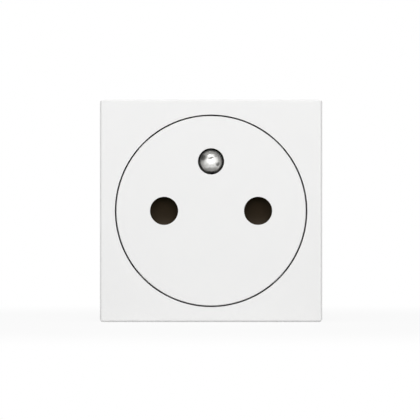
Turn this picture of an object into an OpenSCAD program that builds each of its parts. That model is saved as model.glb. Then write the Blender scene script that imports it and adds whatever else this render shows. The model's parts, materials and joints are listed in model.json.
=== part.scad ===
// Flush power socket, two poles and earth, two modules wide.
// X runs to the right, Y runs back into the wall, Z runs up.
// The origin is on the front face, midway between the two pin holes.
// The round disc is pushed back by the plug, and the earth pin then stands out of it.

/* [Face plate] */
// How far the face plate stands out beyond the body
flange_w = 1.15; // [1:0.05:1.6]
// Thickness of the face plate
plate_t = 2.6; // [2.2:0.1:3]
// Rounding of the front edges
plate_edge_r = 0.4; // [0.2:0.05:0.9]
// Rounding of the four corners, seen from the front
plate_corner_r = 0.6; // [0.3:0.1:1.5]

/* [Plug recess] */
// Wall of the sleeve behind the opening
sleeve_wall = 0.85; // [0.8:0.05:1]
// Gap all round the disc
disc_gap = 0.3; // [0.2:0.05:0.4]
// How far the plug pushes the disc back
disc_travel = 15; // [13:0.5:16]
// Distance between the two pin holes
pin_pitch = 19; // [18.8:0.1:19.2]
// Diameter of the pin holes
pin_hole_d = 5.7; // [5.2:0.1:6]
// Diameter of the plug's pins
plug_pin_d = 4.8; // [4.6:0.1:4.9]
// Height of the earth pin above the pin holes
earth_rise = 10; // [9.6:0.1:10.4]

/* [Disc] */
// Thickness of the disc's front wall
disc_wall = 2; // [1.6:0.1:2.4]
// Bevel of the disc's front edge
disc_bevel = 0.12; // [0.05:0.01:0.3]
// Wall of the guide skirt
skirt_wall = 1.4; // [1.1:0.1:1.5]
// Width of the four keys that stop the disc from turning
key_w = 3; // [2.4:0.1:3.6]
// How far a key stands out from the disc
key_h = 2.6; // [2:0.1:2.8]
// Length of the keys, from the back of the disc
key_l = 3.9; // [3:0.1:4.4]

/* [Shutter] */
// Thickness of the shutter from front to back
shutter_t = 4.5; // [4.2:0.1:4.7]
// How far the shutter reaches beyond the pin holes, sideways
shutter_lap = 0.25; // [0.1:0.05:0.5]
// How far the shutter reaches beyond the pin holes, up and down
shutter_lap_h = 0.35; // [0.2:0.05:0.5]
// Thickness of the plate that holds the shutter from behind
holder_t = 1.4; // [1.2:0.1:1.8]
// Outer diameter of the shutter's spring
shutter_spring_d = 3.4; // [3:0.1:3.6]
// Wire of the shutter's spring
shutter_wire_d = 0.35; // [0.25:0.05:0.45]

/* [Body] */
// Thinnest wall of the body beside the sleeve
body_wall = 1; // [0.8:0.05:1.2]
// Thickness of the cover's side walls
side_wall = 1.3; // [1.1:0.1:1.5]
// Depth at which the white cover ends
cover_depth = 12; // [11.5:0.1:13]
// Thickness of the contact block from front to back
block_depth = 12.4; // [12.2:0.1:13.5]
// Front wall of the contact block
block_wall = 1.6; // [1.2:0.1:1.7]
// Thickness of the rear cover
rear_t = 1.8; // [1.5:0.1:2.4]
// How far the terminal boss stands out of the rear cover
boss_rise = 1.4; // [1:0.1:2]

/* [Snap arms] */
// Distance of the snap arms from the middle
arm_z = 12.5; // [12:0.1:12.8]
// Width of a snap arm
arm_w = 6; // [5:0.1:6.2]
// Slot round a snap arm
arm_slot = 0.6; // [0.5:0.05:0.8]
// How far a snap tooth stands out
tooth_h = 0.85; // [0.6:0.05:1]
// Thickness of the support frame that the tooth holds
frame_rail = 2.1; // [2.05:0.05:2.4]

/* [Earth pin] */
// Diameter of the earth pin
earth_pin_d = 4.8; // [4.6:0.05:4.85]
// Depth of the pin's tip behind the face
earth_tip = 0.4; // [0.2:0.1:1.6]
// Radius of the pin's domed tip
dome_r = 3; // [2.7:0.1:3.6]
// Diameter of the dome at its rim
dome_d = 4.1; // [3.6:0.1:4.4]
// Length of the taper from the dome's rim to the full pin
taper_l = 1.1; // [0.4:0.1:2]
// Diameter of the pin's collar
collar_d = 8; // [7:0.1:8.2]
// Thickness of the earth strap
strap_t = 0.8; // [0.6:0.05:1]

/* [Contacts] */
// Sheet thickness of the contacts
contact_t = 0.5; // [0.4:0.05:0.55]
// Height of a contact's leaves
contact_h = 7; // [6:0.1:7.4]
// How much narrower than the pin the leaves stand where they grip it
contact_grip = 0.4; // [0.2:0.05:0.6]
// Sheet thickness of the steel clips
clip_t = 0.3; // [0.2:0.05:0.35]

/* [Terminals] */
// Distance of the outer terminals from the side of the body
terminal_margin = 3.6; // [3.2:0.1:3.7]
// Distance of the terminals from the bottom of the body
terminal_rise = 4.7; // [4:0.1:5]
// Wall between a wire entry and its release button
entry_wall = 0.5; // [0.4:0.05:0.7]
// Diameter of the wire entries
wire_hole_d = 3.6; // [3.2:0.1:3.8]
// Sheet thickness of the clamp springs
clamp_t = 0.4; // [0.3:0.05:0.5]
// Width of a release button
button_w = 1.8; // [1.5:0.1:1.9]
// Height of a release button
button_h = 3; // [2.4:0.1:3.4]

/* [Return springs] */
// Outer diameter of the return springs
return_spring_d = 3.4; // [3:0.1:3.5]
// Wire of the return springs
return_wire_d = 0.4; // [0.3:0.05:0.5]
// Turns of a return spring
return_turns = 15; // [12:1:17]

/* [Screws] */
// Diameter of the long screws
screw_d = 2.5; // [2.2:0.1:2.6]
// Diameter of the screw heads
screw_head_d = 4.2; // [3.8:0.1:4.4]
// Distance of the screws from the sleeve
screw_off = 6; // [5.6:0.1:6.2]
// Plastic left between a screw's axis and the cut corner
corner_margin = 2.2; // [2:0.1:2.6]

/* [Hidden] */

// Clearances and small steps
run_gap = 0.3;
fit_gap = 0.1;
thin_gap = 0.05;
free_gap = 0.25;
chamfer = 0.3;
small_chamfer = 0.15;
weld = 0.5;
through = 1;
$fn = 96;

// Pins, and the contact chambers round them, measured from the pin's axis
pin_x = pin_pitch / 2;
pin_pass_d = plug_pin_d + 2 * free_gap;
contact_throat = plug_pin_d - contact_grip;
leaf_throat = (contact_throat + contact_t) / 2;
leaf_root = leaf_throat + 0.2;
leaf_mouth = leaf_root + 0.3;
chamber_half_w = leaf_mouth + contact_t / 2 + 0.2;
chamber_half_h = contact_h / 2 + run_gap;

// Return springs stand beside the chambers, and the skirt clears them
spring_play = 0.5;
chamber_wall = 0.9;
spring_well_d = return_spring_d + spring_play;
return_spring_x = pin_x + chamber_half_w + chamber_wall + spring_well_d / 2;
spigot_d = return_spring_d - 2 * return_wire_d - 0.4;
spigot_l = 5;

// Radii of the sliding parts, from the springs outwards
skirt_in_r = return_spring_x + return_spring_d / 2 + run_gap;
disc_r = skirt_in_r + skirt_wall;
well_r = disc_r + disc_gap;
well_d = 2 * well_r;
sleeve_r = well_r + sleeve_wall;
key_tip_r = disc_r + key_h;
key_r = disc_r - skirt_wall / 2;
key_play = 0.2;
keyway_play = 0.5;

// Shutter behind the disc's wall, and the depth of the disc that holds it
shutter_half_w = pin_x + pin_hole_d / 2 + shutter_lap;
shutter_half_h = pin_hole_d / 2 + shutter_lap_h;
shutter_clear = 0.2;
shutter_travel = shutter_half_h + plug_pin_d / 2 + shutter_clear;
shutter_front = disc_wall + run_gap;
shutter_back = shutter_front + shutter_t;
shutter_mid = (shutter_front + shutter_back) / 2;
holder_front = shutter_back + run_gap;
holder_bevel = 0.6;
disc_depth = holder_front + holder_t;
key_front = disc_depth - key_l;
shutter_low = -shutter_half_h - shutter_travel;
stem_l = 1.8;
stem_half_w = 2.4;
stem_low = -shutter_half_h - stem_l;
shutter_turns = 8;
ramp_edge = 0.5;
web_edge = 1;
nub_l = 1.2;
nub_d = shutter_spring_d - 4 * shutter_wire_d;
pressed_spring_l = 4.6;
ledge_z = stem_low - shutter_travel - pressed_spring_l;
ledge_t = 1.6;
rail_t = 1.2;
rail_spare = 0.6;
peg_d = 1.6;
peg_r = skirt_in_r - peg_d - 0.65;
peg_angles = [-113.5, -66.5, 54.5, 125.5];
earth_hole_d = earth_pin_d + 2 * free_gap;

// Depths of the layers, from the face backwards
cover_back = cover_depth;
pressed_back = disc_depth + disc_travel;
sleeve_back = pressed_back + fit_gap;
block_front = sleeve_back + 0.4;
block_back = block_front + block_depth;
rear_back = block_back + rear_t;
boss_back = rear_back + boss_rise;
spring_well_back = block_back - 0.8;

// Outline of the body and the face
body_half = sleeve_r + body_wall;
plate_w = 2 * (body_half + flange_w);
screw_xz = (sleeve_r + screw_off) / sqrt(2);
corner_cut = 2 * screw_xz + corner_margin * sqrt(2) - body_half;

// Depths of the contacts
contact_base_y = block_back - 1.45;
contact_front_y = block_front + block_wall + 0.7;
throat_y = contact_front_y + 2.2;
clip_gap = thin_gap + (contact_t + clip_t) / 2;
clip_half_h = contact_h / 2 - 1.5;
clip_slack = 0.02;
clip_start_y = throat_y + run_gap;

// Terminals along the bottom of the body: chambers, rails and wires
wire_pitch = wire_hole_d + button_w + 2 * (fit_gap + entry_wall);
rail_half_w = wire_pitch / 2 + 1.3;
term_half_w = rail_half_w + 2 * run_gap;
terminal_pitch = body_half - terminal_margin - term_half_w;
chamber_floor = terminal_rise - body_half;
chamber_h = button_h + 2.7;
rail_low = chamber_floor + chamber_h;
chamber_roof = rail_low + strap_t + fit_gap;
wire_drop = button_h / 2 + 2 * fit_gap - rail_low;
term_front_y = block_front + block_wall + 0.4;
rail_front_y = term_front_y + 1;
tab_in = terminal_pitch - rail_half_w + fit_gap;
tab_out = tab_in + 4;

// Lead-in cone of the pin passages, and hollows above the live contacts
lead_in = 0.8;
hollow_off = 2.3;
hollow_w = 5.6;
hollow_edge = 3;

// Earth pin and strap
collar_front = block_front + block_wall + fit_gap;
collar_t = 1.6;
strap_front = collar_front + collar_t;
strap_half_w = 3;
strap_top = earth_rise + strap_half_w + 0.2;
tail_d = earth_pin_d - 0.8;
rivet_d = tail_d + 1.4;
rivet_t = 0.7;

// Clamp springs and release buttons
clamp_half_w = rail_half_w - run_gap;
clamp_low = chamber_floor + clamp_t / 2 + thin_gap;
clamp_bend_y = block_back - 1.8;
clamp_foot_y = term_front_y + 1.2;
clamp_bend_r = 0.62;
clamp_bend_end = 60;
blade_reach = 4.4;
blade_gap = 0.12;
blade_tip_y = clamp_bend_y - blade_reach;
blade_tip_z = rail_low - clamp_t / 2 - blade_gap;
blade_root_y = clamp_bend_y + clamp_bend_r * cos(clamp_bend_end);
blade_root_z = clamp_low + clamp_bend_r * (1 + sin(clamp_bend_end));
blade_run = (blade_tip_y - blade_root_y) / (blade_tip_z - blade_root_z);
nose_gap = (clamp_t / 2 + fit_gap) * sqrt(1 + blade_run * blade_run);
button_stand = 0.4;
funnel = 0.4;
button_back = boss_back + button_stand;
shoulder_w = 0.5;
shoulder_front = block_back - 0.9;
shoulder_back = block_back - 0.2;

// Snap arms
arm_front = plate_t + arm_slot + run_gap;
arm_root = cover_back - 1.4;
tooth_front = plate_t + frame_rail;
tooth_l = 3.4;
tooth_land = 0.7;
tooth_back = tooth_front + tooth_l;

// Screws
screw_seat = rear_back - 0.6;
screw_head_t = 1.5;
screw_point_l = 1.2;
head_bevel = 0.5;
cross_l = 0.57 * screw_head_d;
cross_w = 0.56;
cross_depth = 0.8;
screw_tip = plate_t + 2.4;
screw_spare = 0.6;
screw_boss_d = screw_d + 2.3;
screw_hole_d = screw_d + 2 * thin_gap;
screw_pass_d = screw_d + run_gap;
head_pass_d = screw_head_d + 0.4;

white = [0.93, 0.93, 0.92];
dark = [0.2, 0.2, 0.21];

// Flat drawing in X and Z, made solid from depth y0 to depth y1
module layer(y0, y1) {
    translate([0, y1, 0]) rotate([90, 0, 0]) linear_extrude(y1 - y0) children();
}

// Drawing of radius and depth, turned round the Y axis
module turned() {
    rotate([-90, 0, 0]) rotate_extrude() children();
}

// Round bar along Y at a place in X and Z
module bar(x, z, d, y0, y1) {
    translate([x, y0, z]) rotate([-90, 0, 0]) cylinder(h = y1 - y0, d = d);
}

// Box between two depths, with its width and height given as ranges
module block(x0, x1, y0, y1, z0, z1) {
    translate([x0, y0, z0]) cube([x1 - x0, y1 - y0, z1 - z0]);
}

// Square with round corners, centred
module round_square(w, h, r) {
    square([w, h - 2 * r], center = true);
    square([w - 2 * r, h], center = true);
    for (sx = [-1, 1], sy = [-1, 1])
        translate([sx * (w / 2 - r), sy * (h / 2 - r)]) circle(r);
}

// Outline of the body, a square with cut corners, drawn smaller by inset
module body_outline(inset = 0) {
    a = body_half - inset;
    b = corner_cut - inset * (sqrt(2) - 1);
    polygon([[a, -b], [a, b], [b, a], [-b, a], [-a, b], [-a, -b], [-b, -a], [b, -a]]);
}

// Copies a piece to the two corners that carry the long screws
module at_screws() {
    for (s = [-1, 1])
        translate([s * screw_xz, 0, s * screw_xz]) children();
}

// Copies a piece to the four diagonals, drawn along X
module at_keys() {
    for (a = [45:90:315])
        rotate([0, a, 0]) children();
}

// Unit normal of the stretch from point a to point b
function normal(a, b) = [a[1] - b[1], b[0] - a[0]] / norm(b - a);

// Points beside a bent line at distance d, mitred at each bend
function beside(path, d) = [
    for (i = [0:len(path) - 1])
        let (
            n0 = normal(path[max(i - 1, 0)], path[max(i, 1)]),
            n1 = normal(path[min(i, len(path) - 2)], path[min(i + 1, len(path) - 1)])
        )
        path[i] + (n0 + n1) * d / (1 + n0 * n1)
];

// Bent sheet strip seen on its edge: a path with an even thickness
module strip(path, t) {
    left = beside(path, t / 2);
    right = beside(path, -t / 2);
    polygon(concat(left, [for (i = [len(right) - 1:-1:0]) right[i]]));
}

// Points on an arc from angle a0 to angle a1
function arc(c, r, a0, a1, n = 6) = [
    for (i = [0:n]) c + r * [cos(a0 + (a1 - a0) * i / n), sin(a0 + (a1 - a0) * i / n)]
];

// Ring of points of a coil's wire at turn angle a and height h
function wire_ring(a, h, r, wire_r, sides) = [
    for (k = [0:sides - 1])
        let (b = 360 * k / sides, q = r + wire_r * cos(b))
        [q * cos(a), q * sin(a), h + wire_r * sin(b)]
];

// Height of a coil's wire at step i: closed end turns, even turns between
function coil_height(i, steps, per_turn, l, wire) =
    let (
        turn = i / per_turn,
        turns = steps / per_turn,
        flat = wire * 1.02,
        mid = (l - wire - 2 * flat) / (turns - 2)
    )
    wire / 2 + (turn < 1 ? turn * flat
        : turn > turns - 1 ? l - wire - (turns - turn) * flat
        : flat + (turn - 1) * mid);

// Compression spring along Z, from 0 to l
module coil(d, wire, l, turns, per_turn = 14, sides = 6) {
    steps = turns * per_turn;
    rings = [
        for (i = [0:steps])
            each wire_ring(360 * i / per_turn, coil_height(i, steps, per_turn, l, wire),
                (d - wire) / 2, wire / 2, sides)
    ];
    walls = [
        for (i = [0:steps - 1], k = [0:sides - 1])
            let (a = i * sides + k, b = i * sides + (k + 1) % sides)
            each [[a, a + sides, b], [b, a + sides, b + sides]]
    ];
    caps = [
        [for (k = [0:sides - 1]) k],
        [for (k = [sides - 1:-1:0]) steps * sides + k]
    ];
    polyhedron(rings, concat(walls, caps));
}

// Face plate with rounded front edges, before it is opened
module plate_blank() {
    w = plate_w;
    r = plate_edge_r;
    intersection() {
        layer(0, plate_t) round_square(w, w, plate_corner_r);
        translate([0, 0, -w / 2]) linear_extrude(w) edge_profile(w, r);
        rotate([0, 90, 0]) translate([0, 0, -w / 2]) linear_extrude(w) edge_profile(w, r);
    }
}

// Section of the face plate: rounded at the front, square at the back
module edge_profile(w, r) {
    translate([-w / 2, r]) square([w, plate_t - r]);
    translate([r - w / 2, 0]) square([w - 2 * r, plate_t]);
    for (s = [-1, 1])
        translate([s * (w / 2 - r), r]) circle(r);
}

// Slot round one snap arm on the right side
module arm_cut() {
    x0 = body_half - side_wall - fit_gap;
    x1 = body_half + tooth_h + through;
    low = arm_z - arm_w / 2;
    high = arm_z + arm_w / 2;
    difference() {
        block(x0, x1, arm_front - arm_slot, arm_root, low - arm_slot, high + arm_slot);
        block(x0, x1, arm_front, arm_root, low, high);
    }
}

// Tooth of one snap arm on the right side
module arm_tooth() {
    translate([0, 0, arm_z - arm_w / 2])
        linear_extrude(arm_w) polygon([
            [body_half - side_wall / 2, tooth_front],
            [body_half + tooth_h - small_chamfer, tooth_front],
            [body_half + tooth_h, tooth_front + chamfer],
            [body_half + tooth_h, tooth_front + tooth_land],
            [body_half, tooth_back],
            [body_half - side_wall / 2, tooth_back]
        ]);
}

// Copies a piece to the four snap arms
module at_arms() {
    for (mx = [0, 1], mz = [0, 1])
        mirror([mx, 0, 0]) mirror([0, 0, mz]) children();
}

module front_cover() {
    color(white) difference() {
        union() {
            plate_blank();
            difference() {
                layer(plate_t - weld, cover_back) body_outline();
                layer(plate_t, cover_back + through) body_outline(side_wall);
            }
            bar(0, 0, 2 * sleeve_r, plate_t - weld, sleeve_back);
            intersection() {
                layer(plate_t - weld, cover_back) body_outline();
                at_screws() bar(0, 0, screw_boss_d, plate_t - weld, cover_back);
            }
            at_arms() arm_tooth();
        }
        bar(0, 0, well_d, -through, sleeve_back + through);
        at_keys() block(well_r - weld, sleeve_r + weld, key_front - fit_gap, sleeve_back + through,
            -key_w / 2 - key_play, key_w / 2 + key_play);
        at_screws() bar(0, 0, screw_hole_d, screw_tip - screw_spare, cover_back + through);
        at_arms() arm_cut();
    }
}

// Disc with its guide skirt, as radius and depth
module disc_profile() {
    polygon([
        [0, 0], [disc_r - disc_bevel, 0], [disc_r, disc_bevel], [disc_r, disc_depth],
        [skirt_in_r + chamfer, disc_depth], [skirt_in_r, disc_depth - chamfer],
        [skirt_in_r, disc_wall], [0, disc_wall]
    ]);
}

// Key of the disc along X, with bevelled ends
module disc_key() {
    translate([0, 0, -key_w / 2]) linear_extrude(key_w) polygon([
        [key_r, key_front], [key_tip_r - chamfer, key_front], [key_tip_r, key_front + chamfer],
        [key_tip_r, disc_depth - chamfer], [key_tip_r - chamfer, disc_depth], [key_r, disc_depth]
    ]);
}

module plug_disc() {
    rail_x = shutter_half_w + run_gap;
    color(white) difference() {
        union() {
            turned() disc_profile();
            at_keys() disc_key();
            for (s = [-1, 1])
                block(min(s * rail_x, s * (rail_x + rail_t)), max(s * rail_x, s * (rail_x + rail_t)),
                    disc_wall - weld, holder_front, shutter_low - rail_spare, shutter_half_h + 1.4);
            block(-stem_half_w - 0.4, stem_half_w + 0.4, disc_wall - weld, holder_front,
                ledge_z - ledge_t, ledge_z);
            for (a = peg_angles)
                bar(peg_r * cos(a), peg_r * sin(a), peg_d, disc_wall - weld, disc_depth);
        }
        for (s = [-1, 1])
            bar(s * pin_x, 0, pin_hole_d, -through, disc_wall + run_gap / 2);
        bar(0, earth_rise, earth_hole_d, -through, disc_wall + through);
    }
}

module shutter_holder() {
    color(dark) difference() {
        union() {
            bar(0, 0, 2 * (skirt_in_r - fit_gap), holder_front, disc_depth);
            for (s = [-1, 1])
                bar(s * return_spring_x, 0, spigot_d, disc_depth - weld, disc_depth + spigot_l);
        }
        for (s = [-1, 1])
            bar(s * pin_x, 0, pin_hole_d + run_gap, holder_front - through, disc_depth + through);
        bar(0, earth_rise, earth_hole_d + run_gap, holder_front - through, disc_depth + through);
        for (a = peg_angles)
            bar(peg_r * cos(a), peg_r * sin(a), peg_d + 2 * fit_gap,
                holder_front - through, disc_depth + through);
        // The back edge slopes so that the plate snaps into the skirt
        turned() polygon([
            [skirt_in_r - holder_bevel, disc_depth],
            [skirt_in_r + through, disc_depth - holder_bevel - through],
            [skirt_in_r + through, disc_depth]
        ]);
    }
}

// Side view of the shutter, depth and height: the ramp faces the pins
module shutter_profile() {
    polygon([
        [shutter_front, -shutter_half_h], [shutter_back, -shutter_half_h], [shutter_back, shutter_half_h],
        [shutter_back - ramp_edge, shutter_half_h], [shutter_front, ramp_edge - shutter_half_h]
    ]);
}

module safety_shutter() {
    color([0.16, 0.13, 0.11]) difference() {
        union() {
            rotate([90, 0, 90]) translate([0, 0, -shutter_half_w])
                linear_extrude(2 * shutter_half_w) shutter_profile();
            block(-stem_half_w, stem_half_w, shutter_front, shutter_back,
                stem_low, ramp_edge / 2 - shutter_half_h);
            translate([0, shutter_mid, stem_low - nub_l]) cylinder(h = nub_l + weld, d = nub_d);
        }
        // The web between the two ramps is thinned from the front
        block(-pin_x / 2, pin_x / 2, shutter_front - through, shutter_mid,
            web_edge - shutter_half_h, shutter_half_h + through);
    }
}

module shutter_spring() {
    color("silver") translate([0, shutter_mid, ledge_z + thin_gap])
        coil(shutter_spring_d, shutter_wire_d, stem_low - ledge_z - 2 * thin_gap, shutter_turns);
}

// Return spring on the right side; it presses on the shutter holder
module return_spring() {
    color("silver") translate([return_spring_x, disc_depth + thin_gap, 0]) rotate([-90, 0, 0])
        coil(return_spring_d, return_wire_d, spring_well_back - disc_depth - 2 * thin_gap, return_turns);
}

module return_spring_left() {
    mirror([1, 0, 0]) return_spring();
}

module return_spring_right() {
    return_spring();
}

module housing() {
    keyway_w = key_w + 2 * keyway_play;
    notch_w = 8;
    notch_depth = 0.5;
    notch_off = 2;
    notch_l = 2;
    corner_hollow_d = 3.2;
    corner_floor = 2;
    color(dark) difference() {
        layer(cover_back, block_front) body_outline();
        bar(0, 0, 2 * sleeve_r + 2 * fit_gap, cover_back - through, block_front + through);
        at_keys() block(sleeve_r - weld, key_tip_r + keyway_play,
            cover_back - through, block_front + through, -keyway_w / 2, keyway_w / 2);
        at_screws() bar(0, 0, screw_pass_d, cover_back - through, block_front + through);
        // Hollows in the two corners that hold no screw
        for (s = [-1, 1])
            translate([s * screw_xz, 0, -s * screw_xz])
                bar(0, 0, corner_hollow_d, cover_back - through, block_front - corner_floor);
        // Grip notches for a screwdriver, top and bottom
        for (s = [-1, 1])
            translate([0, 0, s * body_half])
                block(-notch_w / 2, notch_w / 2, cover_back + notch_off, cover_back + notch_off + notch_l,
                    -notch_depth, notch_depth);
    }
}

// Chamber of a live contact on the right side, with its slot to the terminal
module contact_chamber() {
    block(pin_x - chamber_half_w, pin_x + chamber_half_w, block_front + block_wall, block_back + through,
        -chamber_half_h, chamber_half_h);
    block(tab_in - run_gap, tab_out + run_gap, contact_base_y - 1, block_back + through,
        chamber_roof - through, 0);
}

// Chamber of one terminal, centred on x
module terminal_chamber(x) {
    block(x - term_half_w, x + term_half_w, term_front_y, block_back + through,
        chamber_floor, chamber_roof);
}

module contact_block() {
    color(dark) difference() {
        layer(block_front, block_back) body_outline();
        for (m = [0, 1])
            mirror([m, 0, 0]) {
                contact_chamber();
                terminal_chamber(terminal_pitch);
                bar(pin_x, 0, pin_pass_d, block_front - through, block_front + block_wall + through);
                turned_at(pin_x, 0) polygon([
                    [0, -fit_gap], [pin_pass_d / 2 + lead_in + fit_gap, -fit_gap],
                    [pin_pass_d / 2 - fit_gap, lead_in], [0, lead_in]
                ]);
                bar(return_spring_x, 0, spring_well_d, block_front - through, spring_well_back);
                // Weight-saving hollow above the contact
                block(collar_d / 2 + hollow_off, pin_x + hollow_w, term_front_y, block_back + through,
                    chamber_half_h + block_wall, body_half - hollow_edge);
            }
        terminal_chamber(0);
        bar(0, earth_rise, earth_pin_d + 2 * fit_gap,
            block_front - through, block_front + block_wall + through);
        bar(0, earth_rise, collar_d + 4 * fit_gap, block_front + block_wall, block_back + through);
        block(-strap_half_w - run_gap, strap_half_w + run_gap,
            strap_front - run_gap, block_back + through, chamber_roof - through, strap_top + run_gap);
        at_screws() bar(0, 0, screw_pass_d, block_front - through, block_back + through);
    }
}

// Turned cutter that starts at the front of the contact block
module turned_at(x, z) {
    translate([x, block_front, z]) turned() children();
}

// Live contact on the right side: a fork of two leaves, a tab and the terminal rail
module live_contact() {
    t = contact_t;
    base = contact_base_y;
    color([0.72, 0.5, 0.28]) union() {
        translate([pin_x, 0, -contact_h / 2]) linear_extrude(contact_h) strip([
            [-leaf_mouth, contact_front_y], [-leaf_throat, throat_y], [-leaf_root, base],
            [leaf_root, base], [leaf_throat, throat_y], [leaf_mouth, contact_front_y]
        ], t);
        block(tab_in, tab_out, base - t / 2, base + t / 2, rail_low, 0);
        block(terminal_pitch - rail_half_w, terminal_pitch + rail_half_w, rail_front_y, base + t / 2,
            rail_low, rail_low + t);
    }
}

module line_contact() {
    live_contact();
}

module neutral_contact() {
    mirror([1, 0, 0]) live_contact();
}

// Steel clip round the leaves of the contact on the right side
module contact_clip() {
    root = leaf_root + clip_gap;
    throat = leaf_throat + clip_gap + clip_slack;
    base = contact_base_y + clip_gap;
    color("silver") translate([pin_x, 0, -clip_half_h]) linear_extrude(2 * clip_half_h) strip([
        [-throat, clip_start_y], [-root, base], [root, base], [throat, clip_start_y]
    ], clip_t);
}

module line_contact_clip() {
    contact_clip();
}

module neutral_contact_clip() {
    mirror([1, 0, 0]) contact_clip();
}

module earth_pin() {
    r = earth_pin_d / 2;
    rim_r = dome_d / 2;
    rim_y = earth_tip + dome_r - sqrt(dome_r * dome_r - rim_r * rim_r);
    strap_back = strap_front + strap_t;
    color([0.8, 0.8, 0.78]) translate([0, 0, earth_rise]) union() {
        intersection() {
            translate([0, earth_tip + dome_r, 0]) sphere(dome_r);
            bar(0, 0, 2 * rim_r, earth_tip - through, rim_y + chamfer);
        }
        turned() polygon([
            [0, rim_y + thin_gap], [rim_r - thin_gap, rim_y + thin_gap], [r, rim_y + taper_l],
            [r, collar_front], [collar_d / 2 - chamfer, collar_front],
            [collar_d / 2, collar_front + chamfer], [collar_d / 2, strap_front - thin_gap],
            [tail_d / 2, strap_front - thin_gap], [tail_d / 2, strap_back + thin_gap],
            [rivet_d / 2, strap_back + thin_gap], [rivet_d / 2 - chamfer, strap_back + rivet_t],
            [0, strap_back + rivet_t]
        ]);
    }
}

module earth_strap() {
    rail_top = rail_low + strap_t;
    color([0.78, 0.66, 0.36]) difference() {
        union() {
            block(-strap_half_w, strap_half_w, strap_front, strap_front + strap_t, rail_low, earth_rise);
            bar(0, earth_rise, 2 * strap_half_w, strap_front, strap_front + strap_t);
            block(-rail_half_w, rail_half_w, strap_front, contact_base_y + contact_t / 2,
                rail_low, rail_top);
        }
        bar(0, earth_rise, tail_d + 2 * thin_gap, strap_front - through, strap_front + strap_t + through);
    }
}

// Leaf clamp of one terminal, centred on x: foot, bend and blade
module clamp_spring(x) {
    color("silver") translate([x - clamp_half_w, 0, 0]) rotate([90, 0, 90])
        linear_extrude(2 * clamp_half_w) strip(concat(
            [[clamp_foot_y, clamp_low]],
            arc([clamp_bend_y, clamp_low + clamp_bend_r], clamp_bend_r, -90, clamp_bend_end),
            [[blade_tip_y, blade_tip_z]]
        ), clamp_t);
}

module line_clamp_spring() {
    clamp_spring(terminal_pitch);
}

module neutral_clamp_spring() {
    clamp_spring(-terminal_pitch);
}

module earth_clamp_spring() {
    clamp_spring(0);
}

// Depth of the button's nose at height z, just behind the clamp's blade
function nose_y(z) = blade_root_y + (z - blade_root_z) * blade_run + nose_gap;

// Release button of one terminal, centred on x, with a shoulder behind the rear cover
module release_button(x) {
    half_w = button_w / 2;
    low = -wire_drop - button_h / 2;
    high = -wire_drop + button_h / 2;
    color([0.85, 0.42, 0.12]) translate([x, 0, 0]) union() {
        translate([-half_w, 0, 0]) rotate([90, 0, 90]) linear_extrude(button_w) polygon([
            [nose_y(high), high], [nose_y(low), low], [button_back - chamfer, low],
            [button_back, low + chamfer], [button_back, high - chamfer], [button_back - chamfer, high]
        ]);
        block(-half_w - shoulder_w, half_w + shoulder_w, shoulder_front, shoulder_back,
            low + fit_gap, high);
    }
}

module line_release_button() {
    release_button(terminal_pitch);
}

module neutral_release_button() {
    release_button(-terminal_pitch);
}

module earth_release_button() {
    release_button(0);
}

// Wire entries and button slot of one terminal, cut through the rear cover
module terminal_openings(x) {
    slot_half_w = button_w / 2 + fit_gap;
    slot_half_h = button_h / 2 + fit_gap;
    for (s = [-1, 1])
        translate([x + s * wire_pitch / 2, 0, -wire_drop]) {
            bar(0, 0, wire_hole_d, block_back - through, boss_back + through);
            turned() polygon([
                [0, boss_back - funnel], [wire_hole_d / 2, boss_back - funnel],
                [wire_hole_d / 2 + funnel + fit_gap, boss_back + fit_gap], [0, boss_back + fit_gap]
            ]);
        }
    block(x - slot_half_w, x + slot_half_w, block_back - through, boss_back + through,
        -wire_drop - slot_half_h, -wire_drop + slot_half_h);
}

module rear_cover() {
    boss_half_w = terminal_pitch + term_half_w + run_gap;
    clip_back = contact_base_y + clip_gap + clip_t / 2;
    rivet_back = strap_front + strap_t + rivet_t;
    stop_half_w = leaf_root - clip_t - run_gap;
    stop_half_h = contact_h / 2 - weld;
    color(dark) difference() {
        union() {
            layer(block_back, rear_back) body_outline();
            block(-boss_half_w, boss_half_w, rear_back - weld, boss_back,
                chamber_floor - run_gap, chamber_roof + 1);
            for (s = [-1, 1])
                block(s * pin_x - stop_half_w, s * pin_x + stop_half_w,
                    clip_back + fit_gap, block_back + weld, -stop_half_h, stop_half_h);
            bar(0, earth_rise, rivet_d - 2 * run_gap, rivet_back + fit_gap, block_back + weld);
        }
        for (x = [-terminal_pitch, 0, terminal_pitch])
            terminal_openings(x);
        at_screws() {
            bar(0, 0, screw_pass_d, block_back - through, boss_back + through);
            bar(0, 0, head_pass_d, screw_seat, boss_back + through);
        }
    }
}

// Long pan-head screw through the stack, on the Y axis
module stack_screw() {
    r = screw_d / 2;
    head_r = screw_head_d / 2;
    head_back = screw_seat + thin_gap + screw_head_t;
    color("silver") difference() {
        turned() polygon([
            [0, screw_tip], [r / 2, screw_tip], [r, screw_tip + screw_point_l], [r, screw_seat + thin_gap],
            [head_r, screw_seat + thin_gap], [head_r, head_back - head_bevel],
            [head_r - head_bevel, head_back], [0, head_back]
        ]);
        for (a = [0, 90])
            rotate([0, a, 0]) block(-cross_l / 2, cross_l / 2,
                head_back - cross_depth, head_back + through, -cross_w / 2, cross_w / 2);
    }
}

module upper_screw() {
    translate([screw_xz, 0, screw_xz]) stack_screw();
}

module lower_screw() {
    translate([-screw_xz, 0, -screw_xz]) stack_screw();
}

front_cover();
plug_disc();
shutter_holder();
safety_shutter();
shutter_spring();
return_spring_left();
return_spring_right();
housing();
contact_block();
line_contact();
neutral_contact();
line_contact_clip();
neutral_contact_clip();
earth_pin();
earth_strap();
line_clamp_spring();
neutral_clamp_spring();
earth_clamp_spring();
line_release_button();
neutral_release_button();
earth_release_button();
rear_cover();
upper_screw();
lower_screw();
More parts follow.
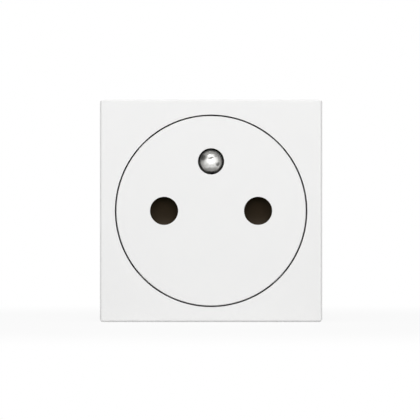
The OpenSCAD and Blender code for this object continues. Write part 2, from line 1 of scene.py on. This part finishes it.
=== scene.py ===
# Flush power socket: looks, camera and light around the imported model.
# Metres, X right, Y back into the wall, Z up, origin in the middle of the disc's face.
import json
import math

import bmesh
import bpy
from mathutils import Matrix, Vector


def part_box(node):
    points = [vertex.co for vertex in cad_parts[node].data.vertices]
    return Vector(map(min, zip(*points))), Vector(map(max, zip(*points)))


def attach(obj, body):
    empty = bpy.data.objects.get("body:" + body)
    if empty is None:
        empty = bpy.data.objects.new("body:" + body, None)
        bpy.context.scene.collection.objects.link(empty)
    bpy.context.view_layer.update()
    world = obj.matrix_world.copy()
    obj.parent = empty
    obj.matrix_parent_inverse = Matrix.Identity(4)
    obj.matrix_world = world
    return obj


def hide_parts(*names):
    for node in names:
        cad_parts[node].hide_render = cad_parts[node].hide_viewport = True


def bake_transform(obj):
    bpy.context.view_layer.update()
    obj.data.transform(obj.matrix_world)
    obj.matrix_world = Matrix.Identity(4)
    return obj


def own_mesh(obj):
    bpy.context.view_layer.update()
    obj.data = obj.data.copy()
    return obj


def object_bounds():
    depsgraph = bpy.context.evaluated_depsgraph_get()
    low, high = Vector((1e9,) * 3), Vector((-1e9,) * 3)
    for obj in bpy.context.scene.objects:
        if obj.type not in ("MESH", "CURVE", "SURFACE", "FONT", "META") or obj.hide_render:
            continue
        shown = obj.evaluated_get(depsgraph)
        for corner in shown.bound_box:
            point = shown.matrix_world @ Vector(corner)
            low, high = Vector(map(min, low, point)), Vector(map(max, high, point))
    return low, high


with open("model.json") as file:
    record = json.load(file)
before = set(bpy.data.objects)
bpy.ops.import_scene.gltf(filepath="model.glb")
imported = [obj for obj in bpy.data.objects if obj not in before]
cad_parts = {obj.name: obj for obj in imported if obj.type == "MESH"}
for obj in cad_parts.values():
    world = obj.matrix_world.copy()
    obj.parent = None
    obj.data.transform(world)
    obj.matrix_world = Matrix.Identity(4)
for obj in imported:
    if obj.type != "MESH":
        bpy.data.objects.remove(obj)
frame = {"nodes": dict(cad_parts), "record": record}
cad_low, cad_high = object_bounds()

MM = 0.001
nodes = frame["nodes"]
scene = bpy.context.scene


# Shader helpers

NOISE_SPAN = (0.3, 0.7)
TWO_TONE_SPAN = (0.35, 0.65)
FULL_SPAN = (0.0, 1.0)
SOFT_DETAIL = 2.0
PLAIN_DETAIL = 3.0
LINE_DETAIL = 4.0


def new_material(name):
    """Empty principled material: (material, node tree, shader node)."""
    mat = bpy.data.materials.new(name)
    mat.use_nodes = True
    tree = mat.node_tree
    return mat, tree, tree.nodes["Principled BSDF"]


def add(tree, kind, **values):
    """Adds a node and sets its inputs or its own properties by name."""
    made = tree.nodes.new(kind)
    for key, value in values.items():
        if key in made.inputs:
            made.inputs[key].default_value = value
        else:
            setattr(made, key, value)
    return made


def computed(tree, kind, operation, values):
    """Math node of a kind, on values that are sockets, numbers or tuples."""
    made = add(tree, kind, operation=operation)
    for entry, value in zip(made.inputs, values):
        if isinstance(value, bpy.types.NodeSocket):
            tree.links.new(value, entry)
        else:
            entry.default_value = value
    return made


def number(tree, operation, *values):
    """Result of a math node."""
    return computed(tree, "ShaderNodeMath", operation, values).outputs["Value"]


def vector(tree, operation, *values):
    """Result of a vector math node: a vector, or a number where it is a length."""
    made = computed(tree, "ShaderNodeVectorMath", operation, values)
    return made.outputs["Value" if operation == "LENGTH" else "Vector"]


def mapped(tree, value, span, result, smooth=False):
    """Carries a value from its span over to a span of results, and never beyond them."""
    kind = "SMOOTHSTEP" if smooth else "LINEAR"
    made = add(tree, "ShaderNodeMapRange", interpolation_type=kind)
    made.inputs["From Min"].default_value = span[0]
    made.inputs["From Max"].default_value = span[1]
    made.inputs["To Min"].default_value = result[0]
    made.inputs["To Max"].default_value = result[1]
    tree.links.new(value, made.inputs["Value"])
    return made.outputs["Result"]


def object_noise(tree, size, detail=PLAIN_DETAIL, stretch=(1, 1, 1)):
    """Noise whose grains are about size metres wide, fixed to the piece."""
    place = add(tree, "ShaderNodeTexCoord").outputs["Object"]
    scale = add(tree, "ShaderNodeMapping", Scale=stretch)
    noise = add(tree, "ShaderNodeTexNoise", Scale=1.0 / size, Detail=detail)
    tree.links.new(place, scale.inputs["Vector"])
    tree.links.new(scale.outputs["Vector"], noise.inputs["Vector"])
    return noise.outputs["Fac"]


def between(tree, value, low, high):
    """Spreads a noise value over low to high."""
    return mapped(tree, value, NOISE_SPAN, (low, high))


def two_tone(tree, value, first, second, span=TWO_TONE_SPAN):
    """Colour that goes from one tone to another over a span of a value."""
    ramp = add(tree, "ShaderNodeValToRGB")
    for element, position, tone in zip(ramp.color_ramp.elements, span, (first, second)):
        element.position = position
        element.color = (*tone, 1)
    tree.links.new(value, ramp.inputs["Fac"])
    return ramp.outputs["Color"]


def darker(tone, share):
    """Tone with a share of its light taken off."""
    return tuple(c * (1 - share) for c in tone)


def bump(tree, shader, value, depth):
    """Relief of the given depth in metres."""
    relief = add(tree, "ShaderNodeBump", Strength=1.0, Distance=depth)
    tree.links.new(value, relief.inputs["Height"])
    tree.links.new(relief.outputs["Normal"], shader.inputs["Normal"])


def seen_directly(tree):
    """1 for rays from the camera, mirrors and glass, and 0 for the light that falls on things."""
    path = add(tree, "ShaderNodeLightPath").outputs
    camera_or_mirror = number(tree, "MAXIMUM", path["Is Camera Ray"], path["Is Glossy Ray"])
    return number(tree, "MAXIMUM", camera_or_mirror, path["Is Transmission Ray"])


# Plastic

FLOW_SIZE = 9 * MM
GLOSS_SPREAD = 0.05
PLASTIC_IOR = 1.5


def moulded(name, tone, rough, grain, depth, flow_share, specular=0.5):
    """Moulded plastic: spark-eroded grain of a width and a depth, slight flow marks, uneven gloss."""
    mat, tree, shader = new_material(name)
    flow = object_noise(tree, FLOW_SIZE, SOFT_DETAIL)
    fine = object_noise(tree, grain, SOFT_DETAIL)
    colour = two_tone(tree, flow, darker(tone, flow_share), tone)
    gloss = between(tree, fine, rough - GLOSS_SPREAD, rough + GLOSS_SPREAD)
    tree.links.new(colour, shader.inputs["Base Color"])
    tree.links.new(gloss, shader.inputs["Roughness"])
    bump(tree, shader, fine, depth)
    shader.inputs["IOR"].default_value = PLASTIC_IOR
    shader.inputs["Specular IOR Level"].default_value = specular
    return mat


# Rolled, drawn and zinc-plated metal

METAL_CLOUD_SIZE = 1.6 * MM
METAL_CLOUD_SHARE = 0.12
LINES_LEAST_ROUGH = 0.7
LINES_MOST_ROUGH = 1.3


def metal(name, tone, rough, stretch, grain, depth):
    """Metal with drawing or rolling lines, long along the axis whose stretch is small."""
    mat, tree, shader = new_material(name)
    lines = object_noise(tree, grain, LINE_DETAIL, stretch)
    cloud = object_noise(tree, METAL_CLOUD_SIZE)
    colour = two_tone(tree, cloud, darker(tone, METAL_CLOUD_SHARE), tone)
    gloss = between(tree, lines, rough * LINES_LEAST_ROUGH, rough * LINES_MOST_ROUGH)
    tree.links.new(colour, shader.inputs["Base Color"])
    tree.links.new(gloss, shader.inputs["Roughness"])
    bump(tree, shader, lines, depth)
    shader.inputs["Metallic"].default_value = 1.0
    return mat


# Worn nickel plating of the earth pin, with painted shade and painted dark reflections on its tip

# Painted shade patches keep their full strength over this share of their reach.
SHADE_PATCH_CORE = 0.35
NOISE_MIDDLE = (0.5, 0.5, 0.5)
WANDER_SIZE = 0.9 * MM
WANDER_REACH = 0.35 * MM
TARNISH_CLOUD_SIZE = 0.8 * MM
TARNISH_CLOUD_MOST = 0.3
TURNING_LINE_SIZE = 0.25 * MM
TURNING_STRETCH = (1, 0.1, 1)
PLATING_ROUGH = (0.34, 0.44)
DENT_SIZE = 1.3 * MM
DENT_DEPTH = 0.03 * MM
DULL_START = 1.15 * MM
DULL_END = 2.4 * MM
DULL_EDGE = 0.2 * MM
DULL_ROUGHER = 0.12

# Patches of painted dark reflection and painted shade on the tip, which stand in for the darker
# surroundings that the dome mirrors; each has a centre, a reach along each axis and a strength. The
# last two darken the lower part of the dome.
PIN_TIP_PAINTED_SHADE = (
    ((-1.65 * MM, 0.8 * MM, 10.75 * MM), (1.25 * MM, 1.6 * MM, 0.9 * MM), 0.85),
    ((-0.05 * MM, 0.4 * MM, 10.7 * MM), (0.85 * MM, 1.0 * MM, 0.27 * MM), 0.9),
    ((0.9 * MM, 0.5 * MM, 11.0 * MM), (0.3 * MM, 1.0 * MM, 0.35 * MM), 0.55),
    ((1.35 * MM, 0.6 * MM, 9.4 * MM), (0.65 * MM, 1.0 * MM, 0.6 * MM), 0.8),
    ((0.0, 0.9 * MM, 8.1 * MM), (2.6 * MM, 1.6 * MM, 1.15 * MM), 0.62),
    ((0.0, 1.3 * MM, 7.6 * MM), (2.4 * MM, 1.4 * MM, 0.8 * MM), 1.0),
)


def wandering_place(tree, place):
    """Place on the piece, moved a little by noise, so that outlines drawn from it are uneven."""
    noise = add(tree, "ShaderNodeTexNoise", Scale=1.0 / WANDER_SIZE, Detail=PLAIN_DETAIL)
    tree.links.new(place, noise.inputs["Vector"])
    centred = vector(tree, "SUBTRACT", noise.outputs["Color"], NOISE_MIDDLE)
    offset = vector(tree, "MULTIPLY", centred, (2 * WANDER_REACH,) * 3)
    return vector(tree, "ADD", place, offset)


def painted_shade_patch(tree, place, centre, reach):
    """Soft-edged patch of painted shade: 1 in its middle, 0 beyond its reach along each axis."""
    offset = vector(tree, "SUBTRACT", place, centre)
    share = vector(tree, "LENGTH", vector(tree, "DIVIDE", offset, reach))
    return mapped(tree, share, (SHADE_PATCH_CORE, 1.0), (1.0, 0.0), smooth=True)


def dull_band(tree, depth):
    """1 along the scraped length behind the dome and 0 elsewhere, with soft edges."""
    begun = mapped(tree, depth, (DULL_START, DULL_START + DULL_EDGE), (0.0, 1.0), smooth=True)
    ended = mapped(tree, depth, (DULL_END, DULL_END + DULL_EDGE), (1.0, 0.0), smooth=True)
    return number(tree, "MULTIPLY", begun, ended)


def worn_plating_with_painted_shade(name, tone, tarnish_and_shade_tone, painted_patches):
    """Plating with turning lines, slight dents, a scraped band, random dark clouding, and patches of
    painted shade and painted dark reflection that darken it towards a second tone.
    """
    mat, tree, shader = new_material(name)
    place = add(tree, "ShaderNodeTexCoord").outputs["Object"]
    uneven_place = wandering_place(tree, place)
    tarnish_and_painted_shade = between(tree, object_noise(tree, TARNISH_CLOUD_SIZE), 0.0, TARNISH_CLOUD_MOST)
    # Painted dark reflections and painted shade, laid over the clouding as patches of the darker tone.
    for centre, reach, strength in painted_patches:
        painted_patch = number(tree, "MULTIPLY", painted_shade_patch(tree, uneven_place, centre, reach), strength)
        tarnish_and_painted_shade = number(tree, "MAXIMUM", tarnish_and_painted_shade, painted_patch)
    colour = two_tone(tree, tarnish_and_painted_shade, tone, tarnish_and_shade_tone, FULL_SPAN)
    parts = add(tree, "ShaderNodeSeparateXYZ")
    lines = object_noise(tree, TURNING_LINE_SIZE, stretch=TURNING_STRETCH)
    gloss = between(tree, lines, *PLATING_ROUGH)
    tree.links.new(place, parts.inputs["Vector"])
    band = dull_band(tree, parts.outputs["Y"])
    rough = number(tree, "MULTIPLY_ADD", band, DULL_ROUGHER, gloss)
    tree.links.new(colour, shader.inputs["Base Color"])
    tree.links.new(rough, shader.inputs["Roughness"])
    bump(tree, shader, object_noise(tree, DENT_SIZE, SOFT_DETAIL), DENT_DEPTH)
    shader.inputs["Metallic"].default_value = 1.0
    return mat


# Materials, by the record's material slots

WHITE = {
    "tone": (0.86, 0.86, 0.855),
    "rough": 0.36,
    "grain": 0.22 * MM,
    "depth": 0.0016 * MM,
    "flow_share": 0.008,
}
MOULDINGS = {
    "white_moulding": WHITE,
    "white_disc": WHITE,
    "dark_moulding": {
        "tone": (0.05, 0.05, 0.053),
        "rough": 0.5,
        "grain": 0.35 * MM,
        "depth": 0.012 * MM,
        "flow_share": 0.2,
    },
    "shutter_brown": {
        "tone": (0.034, 0.0225, 0.011),
        "rough": 0.6,
        "grain": 0.3 * MM,
        "depth": 0.005 * MM,
        "flow_share": 0.15,
        "specular": 0.25,
    },
    "button_orange": {
        "tone": (0.72, 0.19, 0.02),
        "rough": 0.4,
        "grain": 0.25 * MM,
        "depth": 0.003 * MM,
        "flow_share": 0.06,
    },
}
METALS = {
    "spring_steel": {
        "tone": (0.62, 0.61, 0.59),
        "rough": 0.28,
        "stretch": (1, 1, 1),
        "grain": 0.3 * MM,
        "depth": 0.002 * MM,
    },
    "contact_bronze": {
        "tone": (0.66, 0.4, 0.2),
        "rough": 0.32,
        "stretch": (1, 0.08, 1),
        "grain": 0.12 * MM,
        "depth": 0.002 * MM,
    },
    "strap_brass": {
        "tone": (0.78, 0.62, 0.32),
        "rough": 0.3,
        "stretch": (1, 1, 0.08),
        "grain": 0.12 * MM,
        "depth": 0.002 * MM,
    },
    "screw_steel": {
        "tone": (0.7, 0.7, 0.68),
        "rough": 0.25,
        "stretch": (1, 1, 1),
        "grain": 0.15 * MM,
        "depth": 0.003 * MM,
    },
}
NICKEL = (0.84, 0.835, 0.815)
# Darker tone of the pin: its random clouding, and its painted shade and painted dark reflections.
TARNISH_AND_SHADE = (0.11, 0.108, 0.1)

material_of_slot = {"plated_pin": worn_plating_with_painted_shade("plated_pin", NICKEL, TARNISH_AND_SHADE, PIN_TIP_PAINTED_SHADE)}
for slot, look in MOULDINGS.items():
    material_of_slot[slot] = moulded(slot, **look)
for slot, look in METALS.items():
    material_of_slot[slot] = metal(slot, **look)

slot_of_node = {s["node"]: s["material_slot"] for s in frame["record"]["subparts"]}
for name, piece in nodes.items():
    piece.data.materials.clear()
    piece.data.materials.append(material_of_slot[slot_of_node[name]])


# Springs, drawn as smooth round wire in the place of the plain coils

WIRE_SIDES = 14
STEPS_PER_TURN = 36
END_TURNS = 1.0
END_PITCH = 1.04
RETURN_WIRE = 0.4 * MM
RETURN_TURNS = 15
SHUTTER_WIRE = 0.35 * MM
SHUTTER_TURNS = 8


def coil_points(radius, length, turns, wire):
    """Centre line of a compression spring along Z whose end turns lie almost closed."""
    steps = int(turns * STEPS_PER_TURN)
    end_rise = wire * END_PITCH
    middle_rise = (length - wire - 2 * end_rise) / (turns - 2 * END_TURNS)
    points = []
    for i in range(steps + 1):
        turn = i / STEPS_PER_TURN
        if turn < END_TURNS:
            height = turn * end_rise
        elif turn > turns - END_TURNS:
            height = length - wire - (turns - turn) * end_rise
        else:
            height = end_rise + (turn - END_TURNS) * middle_rise
        angle = 2 * math.pi * turn
        points.append(Vector((radius * math.cos(angle), radius * math.sin(angle), height + wire / 2)))
    return points


def tube(name, points, wire):
    """Closed round tube along points; rings stand square to the path."""
    verts = []
    faces = []
    for i, p in enumerate(points):
        ahead = points[min(i + 1, len(points) - 1)] - points[max(i - 1, 0)]
        out = Vector((p.x, p.y, 0)).normalized()
        side = ahead.normalized().cross(out).normalized()
        for k in range(WIRE_SIDES):
            b = 2 * math.pi * k / WIRE_SIDES
            verts.append(p + (out * math.cos(b) + side * math.sin(b)) * wire / 2)
    for i in range(len(points) - 1):
        for k in range(WIRE_SIDES):
            a = i * WIRE_SIDES + k
            b = i * WIRE_SIDES + (k + 1) % WIRE_SIDES
            faces.append((a, b, b + WIRE_SIDES, a + WIRE_SIDES))
    last = (len(points) - 1) * WIRE_SIDES
    faces.append(tuple(reversed(range(WIRE_SIDES))))
    faces.append(tuple(range(last, last + WIRE_SIDES)))
    mesh = bpy.data.meshes.new(name)
    mesh.from_pydata(verts, [], faces)
    mesh.polygons.foreach_set("use_smooth", [len(p.vertices) == 4 for p in mesh.polygons])
    mesh.update()
    piece = bpy.data.objects.new(name, mesh)
    scene.collection.objects.link(piece)
    piece.data.materials.append(material_of_slot["spring_steel"])
    return piece


def make_return_spring(node):
    """Return spring between the shutter holder and the floor of its well, laid along Y."""
    low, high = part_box(node)
    middle = (low + high) / 2
    length = high.y - low.y
    radius = (high.x - low.x - RETURN_WIRE) / 2
    points = coil_points(radius, length, RETURN_TURNS, RETURN_WIRE)
    piece = tube(node + "_wire", points, RETURN_WIRE)
    for v in piece.data.vertices:
        v.co = Vector((middle.x + v.co.x, low.y + v.co.z, -v.co.y))
    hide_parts(node)
    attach(piece, "socket")
    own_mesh(piece)


def make_shutter_spring(node):
    """Spring under the shutter, on the ledge behind the disc."""
    low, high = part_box(node)
    middle = (low + high) / 2
    length = high.z - low.z
    radius = (high.x - low.x - SHUTTER_WIRE) / 2
    points = coil_points(radius, length, SHUTTER_TURNS, SHUTTER_WIRE)
    piece = tube(node + "_wire", points, SHUTTER_WIRE)
    for v in piece.data.vertices:
        v.co = v.co + Vector((middle.x, middle.y, low.z))
    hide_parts(node)
    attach(piece, "disc")
    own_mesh(piece)


make_return_spring("return_spring_left")
make_return_spring("return_spring_right")
make_shutter_spring("shutter_spring")


# Clamp leaves, drawn again with their blades cut at even heights up to the release buttons

BEND_RISE = 1.4 * MM
LEAF_CUTS = 10
WELD_REACH = 0.001 * MM
SHARP_ANGLE = math.radians(35)


def make_clamp_leaf(pole):
    """Leaf clamp drawn again, its blade cut at even heights from above the bend at its foot up to the
    low end of its button, and shaded smooth.
    """
    node = pole + "_clamp_spring"
    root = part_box(node)[0].z + BEND_RISE
    nose_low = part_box(pole + "_release_button")[0].z
    mesh = nodes[node].data.copy()
    leaf = bmesh.new()
    leaf.from_mesh(mesh)
    bmesh.ops.remove_doubles(leaf, verts=leaf.verts[:], dist=WELD_REACH)
    for i in range(LEAF_CUTS + 1):
        height = root + (nose_low - root) * i / LEAF_CUTS
        everything = leaf.verts[:] + leaf.edges[:] + leaf.faces[:]
        bmesh.ops.bisect_plane(leaf, geom=everything, plane_co=(0, 0, height), plane_no=(0, 0, 1))
    leaf.to_mesh(mesh)
    leaf.free()
    mesh.polygons.foreach_set("use_smooth", [True] * len(mesh.polygons))
    mesh.set_sharp_from_angle(angle=SHARP_ANGLE)
    piece = bpy.data.objects.new(node + "_leaf", mesh)
    scene.collection.objects.link(piece)
    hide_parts(node)
    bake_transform(piece)


make_clamp_leaf("line")
make_clamp_leaf("neutral")
make_clamp_leaf("earth")


# Camera, straight on

PHOTO_PX = 420
PX_PER_MM = 4.951
RING_CENTRE_PX = (211.08, 210.85)
CAMERA_FAR = 0.8
CLIP_START = 0.01
SENSOR_MM = 36.0

view_width = PHOTO_PX / PX_PER_MM * MM
off_x = (RING_CENTRE_PX[0] - PHOTO_PX / 2) / PX_PER_MM * MM
off_z = (PHOTO_PX / 2 - RING_CENTRE_PX[1]) / PX_PER_MM * MM
camera_data = bpy.data.cameras.new("camera")
camera_data.sensor_width = SENSOR_MM
camera_data.lens = SENSOR_MM * CAMERA_FAR / view_width
camera_data.clip_start = CLIP_START
camera = bpy.data.objects.new("camera", camera_data)
camera.location = (-off_x, -CAMERA_FAR, -off_z)
camera.rotation_euler = (math.radians(90), 0, 0)
scene.collection.objects.link(camera)
scene.camera = camera


# Floor

FLOOR_SIZE = 6.0
FLOOR_GAP = 0.02 * MM
FLOOR_GRAIN = 40 * MM
FLOOR_DARK = (0.5, 0.5, 0.5)
FLOOR_LIGHT = (0.53, 0.53, 0.53)
FLOOR_ROUGH = 0.9
SHADOW_FULL_REACH = 0.064
SHADOW_REACH = 0.16
GROUND_NEAR = 0.92


def floor_material():
    """White ground for the camera, which near the object lets its shadow through a little."""
    mat, tree, shader = new_material("floor")
    shader.inputs["Roughness"].default_value = FLOOR_ROUGH
    tone = two_tone(tree, object_noise(tree, FLOOR_GRAIN, SOFT_DETAIL), FLOOR_DARK, FLOOR_LIGHT)
    tree.links.new(tone, shader.inputs["Base Color"])
    glow = add(tree, "ShaderNodeEmission", Strength=1.0)
    far = vector(tree, "LENGTH", add(tree, "ShaderNodeNewGeometry").outputs["Position"])
    ground = mapped(tree, far, (SHADOW_FULL_REACH, SHADOW_REACH), (GROUND_NEAR, 1.0), smooth=True)
    mix = add(tree, "ShaderNodeMixShader")
    tree.links.new(number(tree, "MULTIPLY", seen_directly(tree), ground), mix.inputs[0])
    tree.links.new(shader.outputs[0], mix.inputs[1])
    tree.links.new(glow.outputs[0], mix.inputs[2])
    tree.links.new(mix.outputs[0], tree.nodes["Material Output"].inputs["Surface"])
    return mat


def make_floor():
    """Square sheet just under the object."""
    half = FLOOR_SIZE / 2
    corners = [(-half, -half, 0), (half, -half, 0), (half, half, 0), (-half, half, 0)]
    mesh = bpy.data.meshes.new("floor")
    mesh.from_pydata(corners, [], [(0, 1, 2, 3)])
    mesh.materials.append(floor_material())
    sheet = bpy.data.objects.new("floor", mesh)
    sheet.location = (0, 0, cad_low.z - FLOOR_GAP)
    scene.collection.objects.link(sheet)


make_floor()


# Light

WORLD_LEVEL = 0.26


def world_light(level):
    """Even light on the object, and a white ground for the camera, mirrors and glass."""
    world = bpy.data.worlds.new("studio")
    world.use_nodes = True
    tree = world.node_tree
    ground = tree.nodes["Background"]
    ground.inputs["Color"].default_value = (1, 1, 1, 1)
    strength = mapped(tree, seen_directly(tree), FULL_SPAN, (level, 1.0))
    tree.links.new(strength, ground.inputs["Strength"])
    scene.world = world


def area_light(name, width, height, watts, place):
    """Soft box that faces the middle of the disc."""
    data = bpy.data.lights.new(name, "AREA")
    data.shape = "RECTANGLE"
    data.size = width
    data.size_y = height
    data.energy = watts
    lamp = bpy.data.objects.new(name, data)
    lamp.location = place
    lamp.rotation_euler = (-Vector(place)).to_track_quat("-Z", "Y").to_euler()
    scene.collection.objects.link(lamp)


world_light(WORLD_LEVEL)
area_light("key_box", width=0.6, height=0.22, watts=2.45, place=(0.02, -0.75, 0.1))
area_light("top_box", width=0.5, height=0.4, watts=2.0, place=(-0.03, -0.22, 0.58))

scene.view_settings.view_transform = "Standard"
